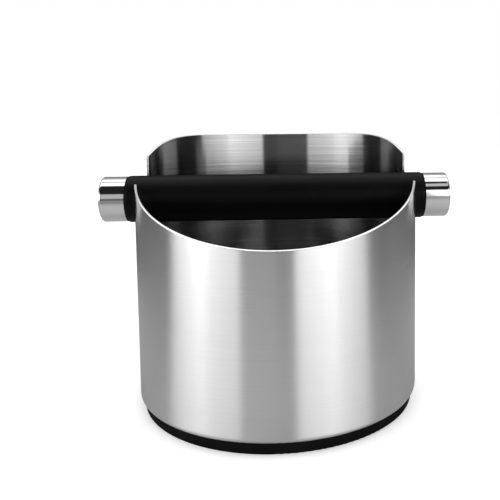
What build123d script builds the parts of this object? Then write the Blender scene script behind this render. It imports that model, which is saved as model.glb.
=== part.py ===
from build123d import *
import os
from math import hypot

# Espresso knock box: a steel bucket on a rubber foot, and a padded bar that lies in two notches in its lip.
# Millimetres. The origin is the centre of the underside, +X runs along the bar, the low side of the lip
# faces -Y and +Z is up. The bar lifts straight out, and its sleeve turns on its steel rod.

# Bucket
BODY_RADIUS = 68.0
WALL = 1.2
BOTTOM_CORNER = 2.5  # outside radius between wall and floor
FRONT_SLOPE = 0.42  # rise of the lip for each millimetre towards the rear, in front of the notches
FRONT_AXIS_HEIGHT = 112.3  # height that the front lip would reach at the bucket's middle
REAR_SLOPE = 0.45  # the same rise, behind the notches
REAR_START_HEIGHT = 118.3  # height of the lip just behind the notches
REAR_HEIGHT = 129.0  # the rear of the lip is level
REAR_BLEND = 75.0  # radius between the sloping and the level lip
RIM_ROUND = 0.35  # deburred edge all round the lip

# Notches
NOTCH_HALF_WIDTH = 12.8
HORN_ROUND = 1.3  # front corner, where the lip runs up into the notch
REAR_CORNER_ROUND = 1.0

# Rubber foot
FOOT_RADIUS = 65.8
FOOT_HEIGHT = 5.0
FOOT_EDGE = 0.8
GRIP_GROOVE_RADII = (57.0, 49.0, 41.0)
GRIP_GROOVE_WIDTH = 2.0
GRIP_DEPTH = 1.0
GRIP_RECESS_RADIUS = 33.0

# Knock bar, measured from its middle
BAR_HEIGHT = 98.0
ROD_RADIUS = 8.0
ROD_HALF = 70.0
SLEEVE_RADIUS = 11.4
SLEEVE_HALF = 72.4
SLEEVE_EDGE = 1.2
SLEEVE_PLAY = 0.05  # running clearance of the sleeve round the rod
SLEEVE_END_GAP = 0.2
BAR_CLEARANCE = 0.3  # between the sleeve and the bottom of its notch
CAP_RADIUS = 11.0
BAR_HALF = 84.6
CAP_EDGE = 1.0

# Screw joints at the ends of the rod
THREAD_RADIUS = 4.0
ROD_HOLE_DEPTH = 16.0
CAP_HOLE_DEPTH = 9.0
STUD_LENGTH = 23.0
STUD_IN_ROD = 14.5
THREAD_CHAMFER = 0.6
SOCKET_RADIUS = 2.3
SOCKET_DEPTH = 3.5

SIDES = {"left": -1, "right": 1}
CAP_INNER = SLEEVE_HALF + SLEEVE_END_GAP
NOTCH_BOTTOM = BAR_HEIGHT - SLEEVE_RADIUS - BAR_CLEARANCE
OVERSHOOT = 10.0  # how far a trimming outline reaches past what it trims
TOLERANCE = 0.01

os.makedirs("parts", exist_ok=True)


def front_lip_height(y):
    """Height of the sloping front lip at a distance y behind the bucket's middle."""
    return FRONT_AXIS_HEIGHT + FRONT_SLOPE * y


def end_plane(side, distance):
    """Plane across the bar at a distance from its middle, facing away from the middle."""
    return Plane(origin=(side * distance, 0, BAR_HEIGHT), x_dir=(0, 1, 0), z_dir=(side, 0, 0))


def along_lip(edge):
    """True for an edge that runs along the lip: both its ends are equally far from the bucket's middle."""
    start = edge @ 0
    end = edge @ 1
    same_radius = abs(hypot(start.X, start.Y) - hypot(end.X, end.Y)) < TOLERANCE
    return same_radius and edge.center().Z > NOTCH_BOTTOM - TOLERANCE


def hole_mouth(edge):
    """True for the rim of the hole in either end of the rod."""
    return abs(edge.radius - THREAD_RADIUS) < TOLERANCE and abs(abs(edge.center().X) - ROD_HALF) < TOLERANCE


# The bucket is a turned shell, trimmed to its outline as seen from the side. The trim gives the lip its
# slope and level rear, and sinks the notches through both sides.
floor_top = FOOT_HEIGHT + WALL
blank_top = REAR_HEIGHT + OVERSHOOT
beyond = BODY_RADIUS + OVERSHOOT
level_y = NOTCH_HALF_WIDTH + (REAR_HEIGHT - REAR_START_HEIGHT) / REAR_SLOPE
notch_centre = NOTCH_BOTTOM + NOTCH_HALF_WIDTH

with BuildPart() as bucket:
    with BuildSketch(Plane.XZ):
        with BuildLine():
            outside = FilletPolyline(
                (0, FOOT_HEIGHT),
                (BODY_RADIUS, FOOT_HEIGHT),
                (BODY_RADIUS, blank_top),
                radius=BOTTOM_CORNER,
            )
            inside = FilletPolyline(
                (0, floor_top),
                (BODY_RADIUS - WALL, floor_top),
                (BODY_RADIUS - WALL, blank_top),
                radius=BOTTOM_CORNER - WALL,
            )
            Line(outside @ 0, inside @ 0)
            Line(outside @ 1, inside @ 1)
        make_face()
    revolve(axis=Axis.Z)

    with BuildSketch(Plane.YZ):
        with BuildLine():
            front_lip = FilletPolyline(
                (-beyond, front_lip_height(-beyond)),
                (-NOTCH_HALF_WIDTH, front_lip_height(-NOTCH_HALF_WIDTH)),
                (-NOTCH_HALF_WIDTH, notch_centre),
                radius=HORN_ROUND,
            )
            rear_lip = FilletPolyline(
                (NOTCH_HALF_WIDTH, notch_centre),
                (NOTCH_HALF_WIDTH, REAR_START_HEIGHT),
                (level_y, REAR_HEIGHT),
                (beyond, REAR_HEIGHT),
                radius=(REAR_CORNER_ROUND, REAR_BLEND),
            )
            ThreePointArc(front_lip @ 1, (0, NOTCH_BOTTOM), rear_lip @ 0)
            Polyline(rear_lip @ 1, (beyond, 0), (-beyond, 0), front_lip @ 0)
        make_face()
    extrude(amount=beyond, both=True, mode=Mode.INTERSECT)
    fillet(bucket.edges().filter_by(along_lip), RIM_ROUND)
bucket.part.label = "bucket"
export_step(bucket.part, "parts/bucket.step")


# The foot is one thick rubber disc, set in from the wall, with grooves and a recess in its underside so
# that it grips on narrow rings.
with BuildPart() as rubber_foot:
    with BuildSketch(Plane.XY):
        Circle(FOOT_RADIUS)
    extrude(amount=FOOT_HEIGHT)
    fillet(rubber_foot.edges().group_by(Axis.Z)[0], FOOT_EDGE)
    with BuildSketch(Plane.XY):
        for groove_radius in GRIP_GROOVE_RADII:
            Circle(groove_radius + GRIP_GROOVE_WIDTH / 2)
            Circle(groove_radius - GRIP_GROOVE_WIDTH / 2, mode=Mode.SUBTRACT)
        Circle(GRIP_RECESS_RADIUS)
    extrude(amount=GRIP_DEPTH, mode=Mode.SUBTRACT)
rubber_foot.part.label = "rubber_foot"
export_step(rubber_foot.part, "parts/rubber_foot.step")


# The rod carries the knocks. It ends a little inside the sleeve and has a tapped hole in each end.
with BuildPart() as core_rod:
    with BuildSketch(end_plane(1, 0)):
        Circle(ROD_RADIUS)
    extrude(amount=ROD_HALF, both=True)
    for side in SIDES.values():
        with BuildSketch(end_plane(side, ROD_HALF)):
            Circle(THREAD_RADIUS)
        extrude(amount=-ROD_HOLE_DEPTH, mode=Mode.SUBTRACT)
    chamfer(core_rod.edges().filter_by(GeomType.CIRCLE).filter_by(hole_mouth), THREAD_CHAMFER)
core_rod.part.label = "core_rod"
export_step(core_rod.part, "parts/core_rod.step")


# The sleeve is a thick rubber tube that reaches through both notches, out to the caps.
with BuildPart() as rubber_sleeve:
    with BuildSketch(end_plane(1, 0)):
        Circle(SLEEVE_RADIUS)
        Circle(ROD_RADIUS + SLEEVE_PLAY, mode=Mode.SUBTRACT)
    extrude(amount=SLEEVE_HALF, both=True)
    outer_edges = rubber_sleeve.edges().filter_by(GeomType.CIRCLE).group_by(SortBy.RADIUS)[-1]
    fillet(outer_edges, SLEEVE_EDGE)
rubber_sleeve.part.label = "rubber_sleeve"
export_step(rubber_sleeve.part, "parts/rubber_sleeve.step")


def make_end_cap(name, side):
    """Polished cap with a short pilot that enters the sleeve and meets the rod, and a blind tapped hole."""
    with BuildPart() as end_cap:
        with BuildSketch(end_plane(side, ROD_HALF)):
            Circle(ROD_RADIUS)
        extrude(amount=CAP_INNER - ROD_HALF)
        with BuildSketch(end_plane(side, CAP_INNER)):
            Circle(CAP_RADIUS)
        extrude(amount=BAR_HALF - CAP_INNER)
        outward = Axis((0, 0, BAR_HEIGHT), (side, 0, 0))
        outer_end = end_cap.edges().filter_by(GeomType.CIRCLE).sort_by(outward)[-1]
        fillet(outer_end, CAP_EDGE)
        with BuildSketch(end_plane(side, ROD_HALF)):
            Circle(THREAD_RADIUS)
        extrude(amount=CAP_HOLE_DEPTH, mode=Mode.SUBTRACT)
    end_cap.part.label = name
    export_step(end_cap.part, f"parts/{name}.step")


def make_stud(name, side):
    """Headless stud that joins a cap to the rod, with a hexagon socket in its outer end."""
    with BuildPart() as stud:
        with BuildSketch(end_plane(side, ROD_HALF - STUD_IN_ROD)):
            Circle(THREAD_RADIUS)
        extrude(amount=STUD_LENGTH)
        chamfer(stud.edges().filter_by(GeomType.CIRCLE), THREAD_CHAMFER)
        with BuildSketch(end_plane(side, ROD_HALF - STUD_IN_ROD + STUD_LENGTH)):
            RegularPolygon(SOCKET_RADIUS, 6)
        extrude(amount=-SOCKET_DEPTH, mode=Mode.SUBTRACT)
    stud.part.label = name
    export_step(stud.part, f"parts/{name}.step")


for side_name, side in SIDES.items():
    make_end_cap(f"{side_name}_end_cap", side)
    make_stud(f"{side_name}_stud", side)
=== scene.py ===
import math

import bpy
from mathutils import Matrix, Vector


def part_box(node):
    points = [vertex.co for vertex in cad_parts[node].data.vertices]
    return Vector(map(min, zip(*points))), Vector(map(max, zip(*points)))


# Espresso knock box on a pale floor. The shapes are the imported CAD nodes; this script gives each of them
# its finish, and makes the floor, the studio light and the camera. Metres, +Z up, low lip towards -Y.

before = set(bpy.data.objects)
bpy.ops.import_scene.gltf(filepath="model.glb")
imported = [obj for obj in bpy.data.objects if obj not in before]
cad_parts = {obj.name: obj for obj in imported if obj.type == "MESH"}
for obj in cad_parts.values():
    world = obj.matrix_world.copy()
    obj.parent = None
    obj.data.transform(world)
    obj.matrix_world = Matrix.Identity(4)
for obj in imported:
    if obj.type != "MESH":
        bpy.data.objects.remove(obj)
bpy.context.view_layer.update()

MM = 0.001
DEGREE = math.degrees(1.0)  # turns radians into degrees

# Places on the object
sleeve_low, sleeve_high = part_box("rubber_sleeve")
BAR_HEIGHT = (sleeve_low[2] + sleeve_high[2]) / 2
BUCKET_RADIUS = 68.0 * MM
WALL = 1.2 * MM
LOWEST_RIM = 80.0 * MM  # the lip dips no lower than this

# Camera, from the middle of the underside
CAMERA_PLACE = Vector((0.0050, -0.3043, 0.1302))
CAMERA_TURN = math.radians(3.17)  # to the right of straight ahead
CAMERA_DIP = math.radians(4.61)  # below the horizon
CAMERA_ROLL = math.radians(0.54)
CAMERA_LENS = 44.12
CAMERA_SHIFT = (-0.1418, -0.1384)

# Finish of the steel: darkest and lightest grey, scale of the grain along x, y and z, and lowest and
# highest roughness
OUTER_STEEL = (0.65, 0.69)
# The inner steel is painted darker than the outer: painted shade for the inside of the bucket.
SHADED_INNER_STEEL = (0.25, 0.32)
RIM_STEEL = 0.9
CHROME = (0.61, 0.67)
FINE_BRUSHING = (18.0, 18.0, 9000.0)
COARSE_BRUSHING = (9.0, 9.0, 1500.0)
TURNING = (6000.0, 40.0, 40.0)
OUTER_ROUGHNESS = (0.26, 0.275)
INNER_ROUGHNESS = (0.1, 0.14)
CHROME_ROUGHNESS = (0.05, 0.09)
TURNED_ROUGHNESS = (0.22, 0.34)

# Finish of the rubber
FOOT_BLACK = (0.002, 0.004)
FOOT_ROUGHNESS = (0.6, 0.8)
SLEEVE_BLACK = (0.002, 0.0035)
SLEEVE_ROUGHNESS = (0.35, 0.38)
SLEEVE_DULLING = 0.35  # roughness added where the sleeve is seen at a grazing angle

# Studio light, as radiance. Places are in degrees of azimuth, elevation or tilt, which direction() explains.
PANEL_STRENGTH = 4.4
LEFT_OUTER_EDGE = (-86.0, -93.0)  # azimuth of the left panel's outer edge, below and above the step in it
LEFT_PEAK = -62.0
LEFT_SHEET_EDGE = -54.5
LEFT_INNER_EDGE = -28.6
RIGHT_INNER_EDGE = 13.7
RIGHT_PEAK = 44.0
RIGHT_SHEET_EDGE = 47.0
RIGHT_OUTER_EDGE = (73.0, 77.0)
PANEL_STEP = (5.0, 10.0)  # elevations between which a panel's outer edge moves outwards
PANEL_TOP = 27.0  # elevation of the panels' upper edges
OUTWARD_FADE = 0.019  # share of a panel's brightness lost with each degree outwards from its peak
INWARD_FADE = 0.012  # the same towards the gap between the panels
SHEET_DROP = 0.12  # each panel is two sheets side by side, and the right one is this much dimmer
OVERHEAD_STRENGTH = 2.1
OVERHEAD_START = 77.0  # tilt of the overhead panel's front edge
OVERHEAD_ENDS = (35.0, 50.0)  # elevations between which the overhead panel fades in at its left and right
SEAM = (99.0, 106.0)  # tilts between which the overhead panel has a dark seam
SEAM_DROP = 0.78  # share of the overhead panel's brightness lost in its seam
ROOM_TOP = 31.0  # tilt at which the grey room round the side panels ends
FRONT_GREY = 0.12
REAR_START = 125.0  # tilt at which the overhead panel ends and the grey rear wall starts
REAR_END = 200.0  # past the horizon behind the box
REAR_GREY = 0.1
UPPER_REAR_GREY = 0.55
REAR_CHANGE = (20.0, 35.0)  # elevations between which the rear wall gets brighter
HIGH_PATCH_GREY = 0.7  # a pale patch above the right panel, with its azimuths and elevations
HIGH_PATCH = ((5.0, 80.0), (47.0, 61.0))
GAP_PATCH_GREY = 0.5  # a pale patch in the left half of the gap between the panels
GAP_PATCH = ((-34.0, 0.0), (7.0, 29.0))
DARKEST = 0.02  # what is left between the panels and the walls

# Floor. The steel reflects it greyer than the camera sees it, darker outwards and to the sides of the box:
# this grey is painted shade.
PALE_FLOOR = (0.94, 0.96)
NEAR_FLOOR_GREY = 0.68
FAR_FLOOR_GREY = 0.33
NEAR_SIDE_GREY = 0.6
FAR_SIDE_GREY = 0.17
SIDE_START = (62.0, 85.0)  # degrees round from straight in front, where the sides start
FAR_START = (0.2, 0.45)  # distance from the middle of the box
FLOOR_GLOW = 0.4  # keeps the floor nearly white where the camera sees it


# ---------------------------------------------------------------- node helpers

def new_material(name):
    """An empty node material with its output and a Principled shader joined to it."""
    material = bpy.data.materials.new(name)
    material.use_nodes = True
    tree = material.node_tree
    tree.nodes.clear()
    output = tree.nodes.new("ShaderNodeOutputMaterial")
    shader = tree.nodes.new("ShaderNodeBsdfPrincipled")
    tree.links.new(shader.outputs["BSDF"], output.inputs["Surface"])
    return material, tree, shader


def connect(tree, source, target):
    """Joins an output to an input, or sets the input if source is a plain value."""
    if isinstance(source, bpy.types.NodeSocket):
        tree.links.new(source, target)
    else:
        target.default_value = source


def calc(tree, operation, a, b=0.0):
    """One Math node; a and b are outputs or numbers."""
    node = tree.nodes.new("ShaderNodeMath")
    node.operation = operation
    connect(tree, a, node.inputs[0])
    connect(tree, b, node.inputs[1])
    return node.outputs[0]


def add(tree, first, *others):
    """Sum of outputs or numbers."""
    result = first
    for value in others:
        result = calc(tree, "ADD", result, value)
    return result


def multiply(tree, first, *others):
    """Product of outputs or numbers."""
    result = first
    for value in others:
        result = calc(tree, "MULTIPLY", result, value)
    return result


def diagonal(tree, a, b):
    """Square root of the sum of two squares."""
    return calc(tree, "SQRT", add(tree, multiply(tree, a, a), multiply(tree, b, b)))


def ramp(tree, value, low, high, start=0.0, end=1.0):
    """Smooth change from start to end as value goes from low to high."""
    node = tree.nodes.new("ShaderNodeMapRange")
    node.interpolation_type = "SMOOTHSTEP"
    connect(tree, value, node.inputs["Value"])
    connect(tree, low, node.inputs["From Min"])
    connect(tree, high, node.inputs["From Max"])
    connect(tree, start, node.inputs["To Min"])
    connect(tree, end, node.inputs["To Max"])
    return node.outputs["Result"]


def between(tree, value, low, high, edge):
    """1 between low and high, with soft edges that reach this far to both sides of them."""
    rise = ramp(tree, calc(tree, "SUBTRACT", value, low), -edge, edge)
    fall = ramp(tree, calc(tree, "SUBTRACT", value, high), -edge, edge, 1.0, 0.0)
    return multiply(tree, rise, fall)


def combine(tree, x, y, z):
    """A vector from three outputs or numbers."""
    node = tree.nodes.new("ShaderNodeCombineXYZ")
    for value, socket in zip((x, y, z), node.inputs):
        connect(tree, value, socket)
    return node.outputs[0]


def place(tree, kind="Object"):
    """x, y and z of a point on the object, in metres. In the world, kind "Generated" gives a direction."""
    coordinates = tree.nodes.new("ShaderNodeTexCoord")
    split = tree.nodes.new("ShaderNodeSeparateXYZ")
    tree.links.new(coordinates.outputs[kind], split.inputs[0])
    return split.outputs


def noise(tree, x, y, z, scale, detail, roughness):
    """Noise from 0 to 1, scale times as fine as one blotch a metre."""
    node = tree.nodes.new("ShaderNodeTexNoise")
    connect(tree, combine(tree, x, y, z), node.inputs["Vector"])
    node.inputs["Scale"].default_value = scale
    node.inputs["Detail"].default_value = detail
    node.inputs["Roughness"].default_value = roughness
    return node.outputs["Fac"]


def streaks(tree, x, y, z, scales, detail, roughness):
    """Noise with a scale of its own along each axis: a small scale draws it out into streaks."""
    stretched = [multiply(tree, value, scale) for value, scale in zip((x, y, z), scales)]
    return noise(tree, *stretched, 1.0, detail, roughness)


def mix_colour(tree, factor, a, b):
    """Colour a turning into colour b as factor goes from 0 to 1."""
    node = tree.nodes.new("ShaderNodeMix")
    node.data_type = "RGBA"
    connect(tree, factor, node.inputs[0])
    connect(tree, a, node.inputs[6])
    connect(tree, b, node.inputs[7])
    return node.outputs[2]


def shade(tree, factor, darkest, lightest):
    """Grey from darkest to lightest as factor goes from 0 to 1."""
    return mix_colour(tree, factor, grey(darkest), grey(lightest))


def bump(tree, shader, height, distance):
    """Joins a bump of that many metres to the shader's normal."""
    node = tree.nodes.new("ShaderNodeBump")
    node.inputs["Distance"].default_value = distance
    connect(tree, height, node.inputs["Height"])
    tree.links.new(node.outputs["Normal"], shader.inputs["Normal"])


def brush_round(tree, shader, axis):
    """Brushing that runs round an axis through the middle of the piece."""
    node = tree.nodes.new("ShaderNodeTangent")
    node.direction_type = "RADIAL"
    node.axis = axis
    tree.links.new(node.outputs["Tangent"], shader.inputs["Tangent"])
    shader.inputs["Anisotropic"].default_value = 1.0
    shader.inputs["Anisotropic Rotation"].default_value = 0.25


def grey(value):
    """Opaque grey."""
    return (value, value, value, 1.0)


# ---------------------------------------------------------------- materials

def bucket_steel():
    """Stainless steel brushed round the bucket, with painted shade making it darker inside, and a bright cut
    edge along the lip.
    """
    material, tree, shader = new_material("bucket_steel_brushed")
    x, y, z = place(tree)
    radius = diagonal(tree, x, y)
    inside = ramp(tree, radius, BUCKET_RADIUS - 0.5 * MM, BUCKET_RADIUS - 0.7 * MM)
    off_inner_face = calc(tree, "GREATER_THAN", radius, BUCKET_RADIUS - WALL + 0.08 * MM)
    off_outer_face = calc(tree, "LESS_THAN", radius, BUCKET_RADIUS - 0.1 * MM)
    on_rim = multiply(tree, off_inner_face, off_outer_face, calc(tree, "GREATER_THAN", z, LOWEST_RIM))

    # Adding the radius to the height turns the straight grain of the wall into rings on the floor.
    across = add(tree, z, radius)
    fine = streaks(tree, x, y, across, FINE_BRUSHING, 3.0, 0.6)
    coarse = streaks(tree, x, y, across, COARSE_BRUSHING, 2.0, 0.5)
    coarse_share = ramp(tree, inside, 0.0, 1.0, 0.05, 0.6)
    fine_share = calc(tree, "SUBTRACT", 1.0, coarse_share)
    grain = add(tree, multiply(tree, fine, fine_share), multiply(tree, coarse, coarse_share))

    grain_contrast = ramp(tree, grain, 0.35, 0.65)
    outer_colour = shade(tree, grain_contrast, *OUTER_STEEL)
    # Painted shade: the inside is coloured darker than the outside, standing in for the shade inside the
    # bucket.
    shaded_inner_colour = shade(tree, grain_contrast, *SHADED_INNER_STEEL)
    colour = mix_colour(tree, inside, outer_colour, shaded_inner_colour)
    connect(tree, mix_colour(tree, on_rim, colour, grey(RIM_STEEL)), shader.inputs["Base Color"])

    # The inner wall is smooth at the top and duller lower down.
    outer_roughness = ramp(tree, grain, 0.3, 0.7, *OUTER_ROUGHNESS)
    low_down = ramp(tree, z, 95.0 * MM, 80.0 * MM, 0.0, 0.1)
    inner_roughness = add(tree, ramp(tree, grain, 0.3, 0.7, *INNER_ROUGHNESS), low_down)
    smudge = noise(tree, x, y, z, 35.0, 3.0, 0.55)
    roughness = add(tree, ramp(tree, inside, 0.0, 1.0, outer_roughness, inner_roughness),
                    multiply(tree, smudge, 0.04))
    rim_gloss = ramp(tree, on_rim, 0.0, 1.0, 1.0, 0.6)
    connect(tree, multiply(tree, roughness, rim_gloss), shader.inputs["Roughness"])

    shader.inputs["Metallic"].default_value = 1.0
    brush_round(tree, shader, "Z")
    bump(tree, shader, multiply(tree, grain, ramp(tree, inside, 0.0, 1.0, 0.4, 1.0)), 0.0004 * MM)
    return material


def foot_rubber():
    """Matte black rubber."""
    material, tree, shader = new_material("foot_rubber_black")
    x, y, z = place(tree)
    speckle = noise(tree, x, y, z, 1800.0, 3.0, 0.6)
    dust = noise(tree, x, y, z, 60.0, 3.0, 0.5)
    connect(tree, shade(tree, ramp(tree, dust, 0.4, 0.8), *FOOT_BLACK), shader.inputs["Base Color"])
    connect(tree, ramp(tree, speckle, 0.3, 0.7, *FOOT_ROUGHNESS), shader.inputs["Roughness"])
    shader.inputs["Specular IOR Level"].default_value = 0.08
    bump(tree, shader, speckle, 0.03 * MM)
    return material


def sleeve_rubber():
    """Satin black rubber with the fine skin of a moulded tube."""
    material, tree, shader = new_material("sleeve_rubber_black")
    x, y, z = place(tree)
    skin = noise(tree, x, y, z, 2600.0, 3.0, 0.6)
    mottle = noise(tree, x, y, z, 130.0, 3.0, 0.5)
    connect(tree, shade(tree, mottle, *SLEEVE_BLACK), shader.inputs["Base Color"])
    # Rubber loses its gloss where it is seen at a grazing angle.
    facing = tree.nodes.new("ShaderNodeLayerWeight").outputs["Facing"]
    dull = ramp(tree, facing, 0.55, 0.8, 0.0, SLEEVE_DULLING)
    satin = add(tree, ramp(tree, mottle, 0.3, 0.7, *SLEEVE_ROUGHNESS), multiply(tree, skin, 0.06))
    connect(tree, add(tree, satin, dull), shader.inputs["Roughness"])
    shader.inputs["Specular IOR Level"].default_value = 0.065
    bump(tree, shader, skin, 0.02 * MM)
    return material


def cap_chrome():
    """Polished chrome with faint turning marks on the ends."""
    material, tree, shader = new_material("cap_chrome_polished")
    x, y, z = place(tree)
    radius = diagonal(tree, y, calc(tree, "SUBTRACT", z, BAR_HEIGHT))
    turning = noise(tree, multiply(tree, radius, 7000.0), 0.0, 0.0, 1.0, 2.0, 0.5)
    haze = noise(tree, x, y, z, 220.0, 3.0, 0.55)
    connect(tree, shade(tree, haze, *CHROME), shader.inputs["Base Color"])
    connect(tree, ramp(tree, haze, 0.3, 0.7, *CHROME_ROUGHNESS), shader.inputs["Roughness"])
    shader.inputs["Metallic"].default_value = 1.0
    bump(tree, shader, turning, 0.002 * MM)
    return material


def turned_steel(name, brightness):
    """Bright turned or plated steel for the rod and studs inside the bar."""
    material, tree, shader = new_material(name)
    x, y, z = place(tree)
    turning = streaks(tree, x, y, z, TURNING, 3.0, 0.6)
    connect(tree, shade(tree, turning, brightness * 0.85, brightness), shader.inputs["Base Color"])
    connect(tree, ramp(tree, turning, 0.3, 0.7, *TURNED_ROUGHNESS), shader.inputs["Roughness"])
    shader.inputs["Metallic"].default_value = 1.0
    bump(tree, shader, turning, 0.005 * MM)
    return material


def floor_paint():
    """Matte off-white floor, which the steel reflects greyer than the camera sees it: painted shade."""
    material, tree, shader = new_material("floor_pale")
    x, y, z = place(tree)
    cloud = noise(tree, x, y, z, 3.0, 2.0, 0.5)
    pale = shade(tree, cloud, *PALE_FLOOR)

    # Painted shade: as the steel reflects it, the floor is grey, darker far out and to the sides of the box,
    # where less light falls.
    forward = multiply(tree, y, -1.0)
    round_angle = multiply(tree, calc(tree, "ARCTAN2", calc(tree, "ABSOLUTE", x), forward), DEGREE)
    near = ramp(tree, round_angle, *SIDE_START, NEAR_FLOOR_GREY, NEAR_SIDE_GREY)
    far = ramp(tree, round_angle, *SIDE_START, FAR_FLOOR_GREY, FAR_SIDE_GREY)
    reflected_painted_shade = ramp(tree, diagonal(tree, x, y), *FAR_START, near, far)

    camera_ray = tree.nodes.new("ShaderNodeLightPath").outputs["Is Camera Ray"]
    connect(tree, mix_colour(tree, camera_ray, reflected_painted_shade, pale), shader.inputs["Base Color"])
    shader.inputs["Emission Color"].default_value = grey(1.0)
    connect(tree, multiply(tree, camera_ray, FLOOR_GLOW), shader.inputs["Emission Strength"])
    shader.inputs["Roughness"].default_value = 0.4
    shader.inputs["Specular IOR Level"].default_value = 0.2
    return material


def dress(node, material):
    """Gives a CAD node its finish."""
    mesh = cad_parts[node].data
    mesh.materials.clear()
    mesh.materials.append(material)


dress("bucket", bucket_steel())
dress("rubber_foot", foot_rubber())
dress("rubber_sleeve", sleeve_rubber())
chrome = cap_chrome()
dress("left_end_cap", chrome)
dress("right_end_cap", chrome)
dress("core_rod", turned_steel("rod_steel_turned", 0.6))
plated = turned_steel("stud_steel_plated", 0.5)
dress("left_stud", plated)
dress("right_stud", plated)


# ---------------------------------------------------------------- floor, light and camera

def make_floor():
    """A square floor under the box."""
    size = 4.0
    mesh = bpy.data.meshes.new("floor")
    corners = [(-size, -size, 0), (size, -size, 0), (size, size, 0), (-size, size, 0)]
    mesh.from_pydata(corners, [], [(0, 1, 2, 3)])
    mesh.materials.append(floor_paint())
    floor = bpy.data.objects.new("floor", mesh)
    bpy.context.scene.collection.objects.link(floor)


def direction(tree):
    """Azimuth, elevation and tilt, in degrees, of what a ray looks at in the world.

    Azimuth is 0 in front of the box and 90 to its right. Tilt is measured as seen from the side: 0 in front,
    90 overhead and 180 at the back.
    """
    x, y, z = place(tree, "Generated")
    forward = multiply(tree, y, -1.0)
    azimuth = multiply(tree, calc(tree, "ARCTAN2", x, forward), DEGREE)
    elevation = multiply(tree, calc(tree, "ARCSINE", z), DEGREE)
    tilt = multiply(tree, calc(tree, "ARCTAN2", z, forward), DEGREE)
    return azimuth, elevation, tilt


def side_panel(tree, azimuth, elevation, low, high, peak, sheet_edge, fade_low, fade_high):
    """Radiance of a panel from azimuth low to high, brightest at its peak and dimmer towards its edges."""
    below = calc(tree, "MAXIMUM", calc(tree, "SUBTRACT", peak, azimuth), 0.0)
    above = calc(tree, "MAXIMUM", calc(tree, "SUBTRACT", azimuth, peak), 0.0)
    fade = add(tree, multiply(tree, below, fade_low), multiply(tree, above, fade_high))
    dimmer_sheet = ramp(tree, azimuth, sheet_edge - 0.7, sheet_edge + 0.7, 0.0, SHEET_DROP)
    glow = multiply(tree, calc(tree, "SUBTRACT", 1.0, fade), calc(tree, "SUBTRACT", 1.0, dimmer_sheet))
    across = between(tree, azimuth, low, high, edge=1.6)
    upright = between(tree, elevation, -90.0, PANEL_TOP, edge=3.0)
    return multiply(tree, glow, PANEL_STRENGTH, across, upright)


def side_panels(tree, azimuth, elevation):
    """The two panels, with the dark gap in front of the box between them."""
    left_end = ramp(tree, elevation, *PANEL_STEP, *LEFT_OUTER_EDGE)
    right_end = ramp(tree, elevation, *PANEL_STEP, *RIGHT_OUTER_EDGE)
    left = side_panel(tree, azimuth, elevation, left_end, LEFT_INNER_EDGE, LEFT_PEAK, LEFT_SHEET_EDGE,
                      fade_low=OUTWARD_FADE, fade_high=INWARD_FADE)
    right = side_panel(tree, azimuth, elevation, RIGHT_INNER_EDGE, right_end, RIGHT_PEAK, RIGHT_SHEET_EDGE,
                       fade_low=INWARD_FADE, fade_high=OUTWARD_FADE)
    return add(tree, left, right)


def overhead_panel(tree, tilt, elevation):
    """A panel over the box, with a dark seam across it. It doesn't reach far out to the left and right."""
    seam = multiply(tree, between(tree, tilt, *SEAM, edge=1.0), SEAM_DROP)
    panel = between(tree, tilt, OVERHEAD_START, REAR_START, edge=3.0)
    lit = multiply(tree, panel, calc(tree, "SUBTRACT", 1.0, seam))
    return multiply(tree, lit, OVERHEAD_STRENGTH, ramp(tree, elevation, *OVERHEAD_ENDS))


def patch(tree, azimuth, elevation, azimuths, elevations, edge):
    """1 in a patch of the room, with soft edges: edge is that of its top and bottom."""
    across = between(tree, azimuth, *azimuths, edge=4.0)
    upright = between(tree, elevation, *elevations, edge)
    return multiply(tree, across, upright)


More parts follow.
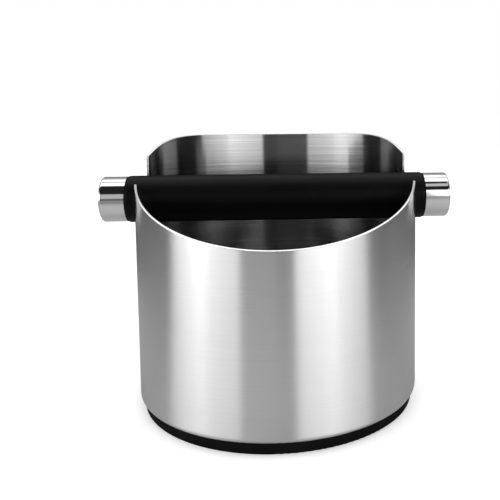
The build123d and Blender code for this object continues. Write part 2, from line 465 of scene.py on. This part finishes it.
def grey_room(tree, azimuth, elevation, tilt):
    """The room round the panels, a rear wall that is brighter high up, and two pale patches."""
    front = multiply(tree, between(tree, tilt, -90.0, ROOM_TOP, edge=2.0), FRONT_GREY)
    rear_shade = ramp(tree, elevation, *REAR_CHANGE, REAR_GREY, UPPER_REAR_GREY)
    rear = multiply(tree, between(tree, tilt, REAR_START, REAR_END, edge=2.0), rear_shade)
    high_patch = multiply(tree, patch(tree, azimuth, elevation, *HIGH_PATCH, edge=2.0), HIGH_PATCH_GREY)
    gap_patch = multiply(tree, patch(tree, azimuth, elevation, *GAP_PATCH, edge=3.0), GAP_PATCH_GREY)
    return add(tree, front, rear, high_patch, gap_patch, DARKEST)


def make_world():
    """The studio as the box reflects it, and plain white behind the box where the camera looks past it."""
    world = bpy.data.worlds.new("studio")
    world.use_nodes = True
    tree = world.node_tree
    tree.nodes.clear()
    azimuth, elevation, tilt = direction(tree)
    radiance = add(tree, side_panels(tree, azimuth, elevation), overhead_panel(tree, tilt, elevation),
                   grey_room(tree, azimuth, elevation, tilt))
    studio = tree.nodes.new("ShaderNodeBackground")
    studio.inputs["Color"].default_value = grey(1.0)
    tree.links.new(radiance, studio.inputs["Strength"])
    backdrop = tree.nodes.new("ShaderNodeBackground")
    backdrop.inputs["Color"].default_value = grey(1.0)
    path = tree.nodes.new("ShaderNodeLightPath")
    blend = tree.nodes.new("ShaderNodeMixShader")
    output = tree.nodes.new("ShaderNodeOutputWorld")
    tree.links.new(path.outputs["Is Camera Ray"], blend.inputs[0])
    tree.links.new(studio.outputs[0], blend.inputs[1])
    tree.links.new(backdrop.outputs[0], blend.inputs[2])
    tree.links.new(blend.outputs[0], output.inputs["Surface"])
    bpy.context.scene.world = world


def make_camera():
    """A camera close in front of the box, a little above the bar, with its view shifted left and down."""
    ahead = Vector((math.sin(CAMERA_TURN) * math.cos(CAMERA_DIP),
                    math.cos(CAMERA_TURN) * math.cos(CAMERA_DIP),
                    -math.sin(CAMERA_DIP)))
    data = bpy.data.cameras.new("camera")
    data.lens = CAMERA_LENS
    data.shift_x, data.shift_y = CAMERA_SHIFT
    data.clip_start = 0.01
    data.clip_end = 20
    camera = bpy.data.objects.new("camera", data)
    turn = ahead.to_track_quat("-Z", "Y").to_matrix().to_4x4()
    camera.matrix_world = Matrix.Translation(CAMERA_PLACE) @ turn @ Matrix.Rotation(-CAMERA_ROLL, 4, "Z")
    bpy.context.scene.collection.objects.link(camera)
    bpy.context.scene.camera = camera


make_floor()
make_world()
make_camera()
bpy.context.scene.view_settings.view_transform = "Standard"
